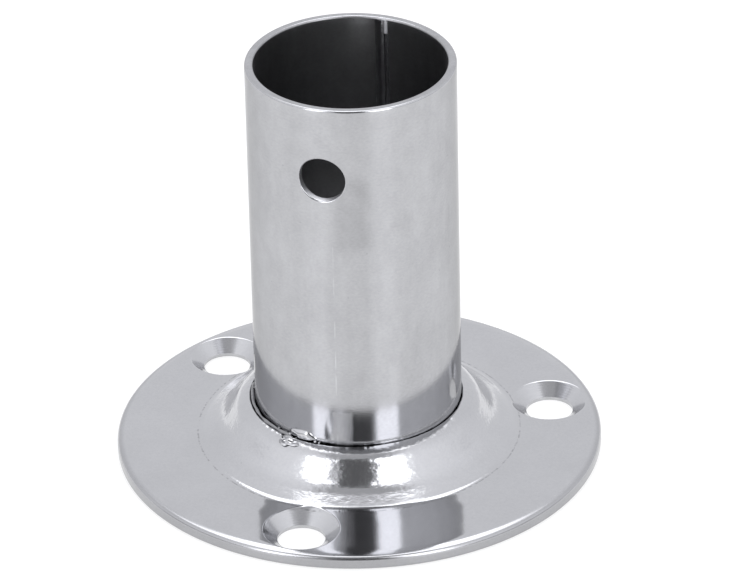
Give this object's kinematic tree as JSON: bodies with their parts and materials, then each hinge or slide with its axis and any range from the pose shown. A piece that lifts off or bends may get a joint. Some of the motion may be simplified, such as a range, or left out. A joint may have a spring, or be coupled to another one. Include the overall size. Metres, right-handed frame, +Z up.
{
  "type": "stanchion base",
  "caption": "Round stainless steel deck flange with a domed middle and countersunk screw holes, and a welded upright tube socket with a cross hole for locking a guard rail stanchion.",
  "frame": {"origin": "centre of the flange's underside, on the tube's axis, where the base meets the deck", "axes": "+Z up the tube towards its rim; the tube's cross hole and the first screw hole face -Y"},
  "size_m": [0.0658, 0.0658, 0.0581],
  "materials": {
    "polished_flange": "bright polished stainless steel with fine polishing marks",
    "satin_tube": "bright stainless steel tube with soft lengthwise drawing marks, dull dark bore",
    "seam_bead": "unpolished seam weld",
    "weld_metal": "rippled weld bead, lightly heat tinted",
    "bright_weld": "smooth polished tack weld"
  },
  "bodies": {
    "root": {"base_flange": "polished_flange", "socket_tube": "satin_tube", "tube_seam_weld": "seam_bead", "root_weld": "weld_metal", "collar_tack_weld": "bright_weld"}
  },
  "joints": []
}
